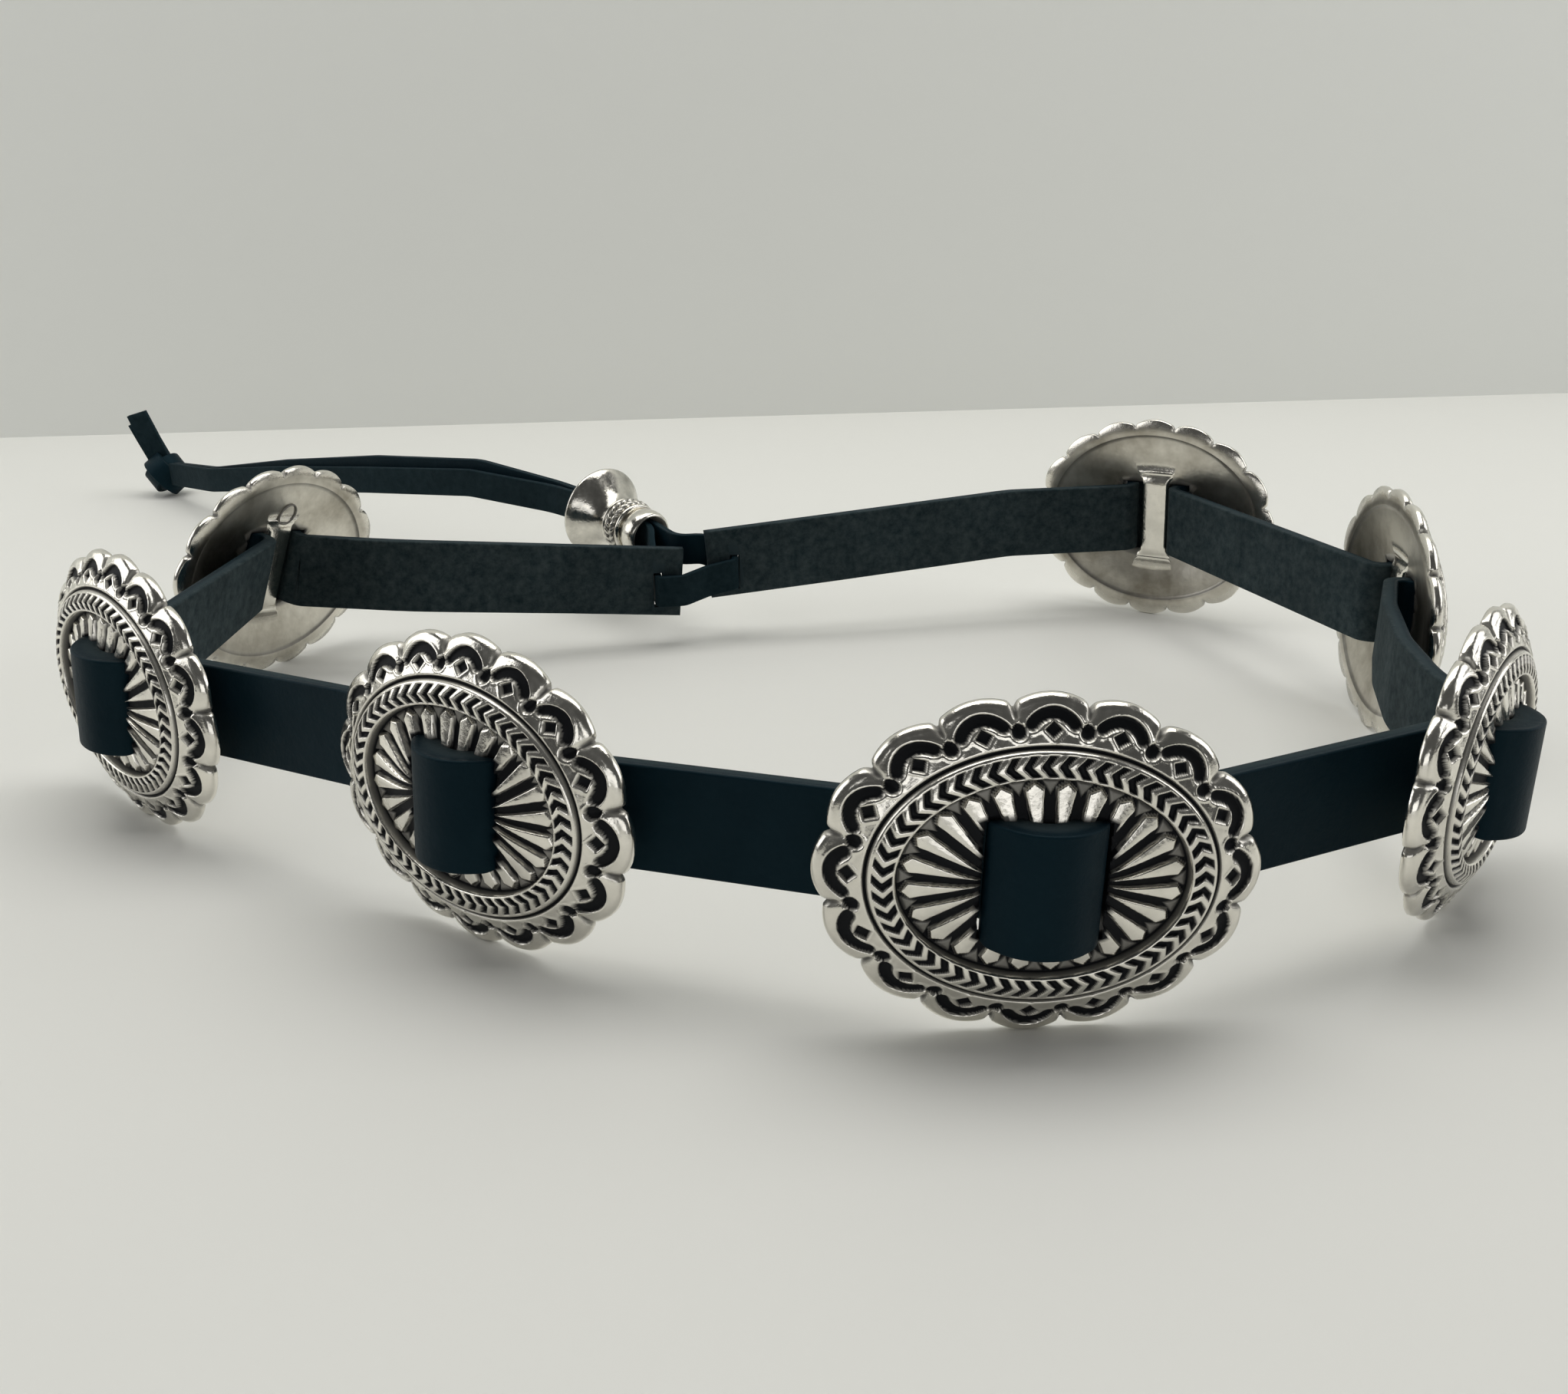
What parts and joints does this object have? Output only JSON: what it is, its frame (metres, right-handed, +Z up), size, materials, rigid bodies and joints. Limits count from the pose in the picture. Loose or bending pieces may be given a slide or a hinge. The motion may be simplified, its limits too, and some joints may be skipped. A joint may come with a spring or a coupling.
{
  "type": "concho belt",
  "caption": "Leather strap belt threaded through scalloped oval cast conchos, closed at the back by a flat lace with a flared metal slide and a knot.",
  "frame": {"origin": "middle of the whole belt's box, on the surface that it stands on", "axes": "+Z up, -Y towards the front of the loop, +X to the right seen from the front; the closure and its tail are at +Y"},
  "size_m": [0.4074, 0.4146, 0.057],
  "materials": {
    "concho_silver": "polished cast silver with dark oxidised recesses",
    "slide_silver": "polished silver",
    "strap_leather": "smooth grain outside, rough flesh side inside",
    "lace_leather": "matt flat lace"
  },
  "bodies": {
    "root": {"concho_1": "concho_silver", "concho_2": "concho_silver", "concho_3": "concho_silver", "concho_4": "concho_silver", "concho_5": "concho_silver", "concho_6": "concho_silver", "concho_7": "concho_silver", "strap": "strap_leather", "lace": "lace_leather", "slide": "slide_silver", "knot": "lace_leather"}
  },
  "joints": []
}
